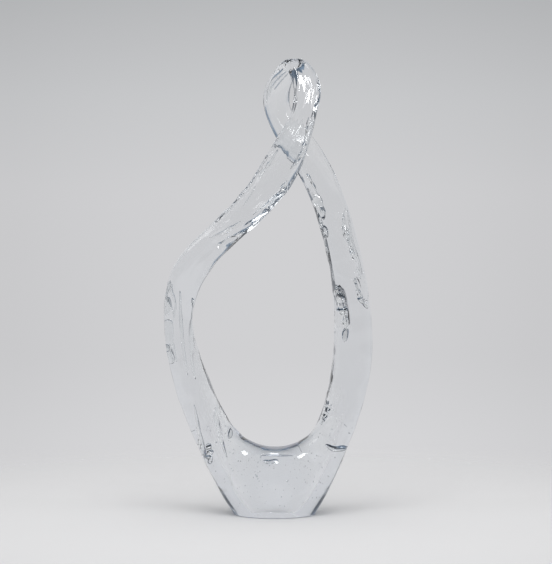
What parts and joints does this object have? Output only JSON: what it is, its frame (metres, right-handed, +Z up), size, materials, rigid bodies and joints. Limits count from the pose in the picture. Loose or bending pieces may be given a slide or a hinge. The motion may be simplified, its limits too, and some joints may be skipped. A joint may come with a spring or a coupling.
{
  "type": "glass sculpture",
  "caption": "Free-standing ornament of clear glass: a thick flat-footed base carries bowed limbs that cross as a flat ribbon and curl over at the top.",
  "frame": {"origin": "middle of the ground foot, on the surface that the sculpture stands on", "axes": "+Z up, +X to the right and +Y to the back as the sculpture is seen from the front"},
  "size_m": [0.1381, 0.048, 0.3],
  "materials": {
    "glass": "clear, fire-polished, ground flat under the foot"
  },
  "bodies": {
    "root": {"base_block": "glass", "right_limb": "glass", "rear_ribbon": "glass", "crown_curl": "glass", "front_ribbon": "glass", "shoulder_bend": "glass", "left_limb": "glass"}
  },
  "joints": []
}
